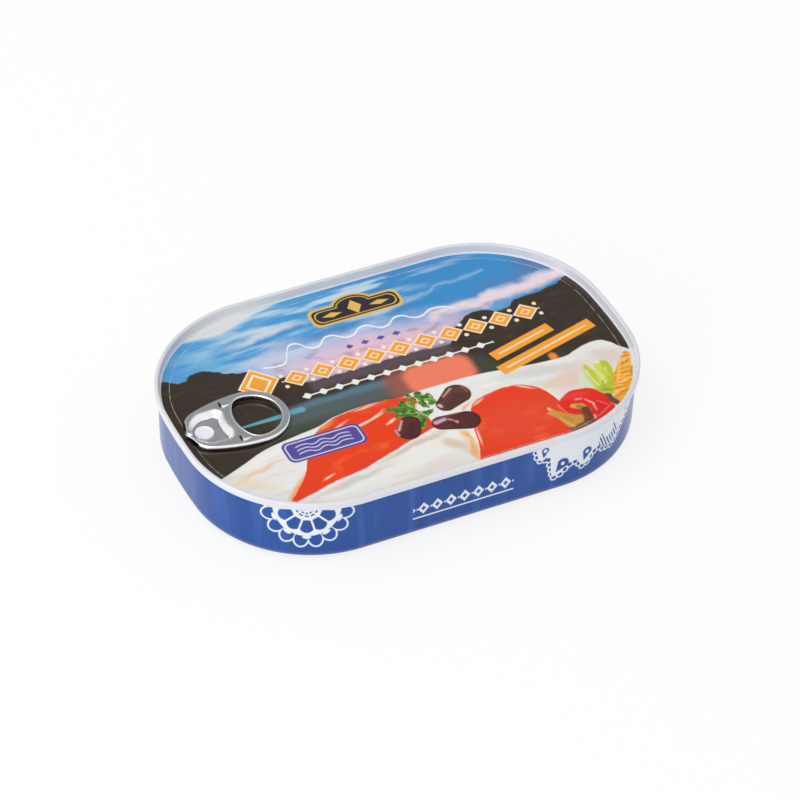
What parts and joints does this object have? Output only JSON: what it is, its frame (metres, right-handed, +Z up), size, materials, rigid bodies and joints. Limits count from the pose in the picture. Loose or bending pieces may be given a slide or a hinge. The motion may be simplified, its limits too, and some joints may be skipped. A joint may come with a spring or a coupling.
{
  "type": "tin of herring",
  "caption": "Shut oval fish tin: drawn body, recessed printed lid with a rolled seam, ring pull and rivet.",
  "frame": {"origin": "middle of the base, on the plane of the standing ring", "axes": "+Z up out of the lid; +X along the long side, away from the ring pull's rivet; +Y across the tin"},
  "size_m": [0.15, 0.0992, 0.024],
  "materials": {
    "body_print": "glossy blue lacquer with a white lace border",
    "lid_print": "printed panel under clear lacquer, white lacquered seam",
    "pull_metal": "stamped, satin",
    "rivet_metal": "flattened head, satin"
  },
  "bodies": {
    "root": {"tin_body": "body_print", "lid": "lid_print", "ring_pull": "pull_metal", "rivet": "rivet_metal"}
  },
  "joints": []
}
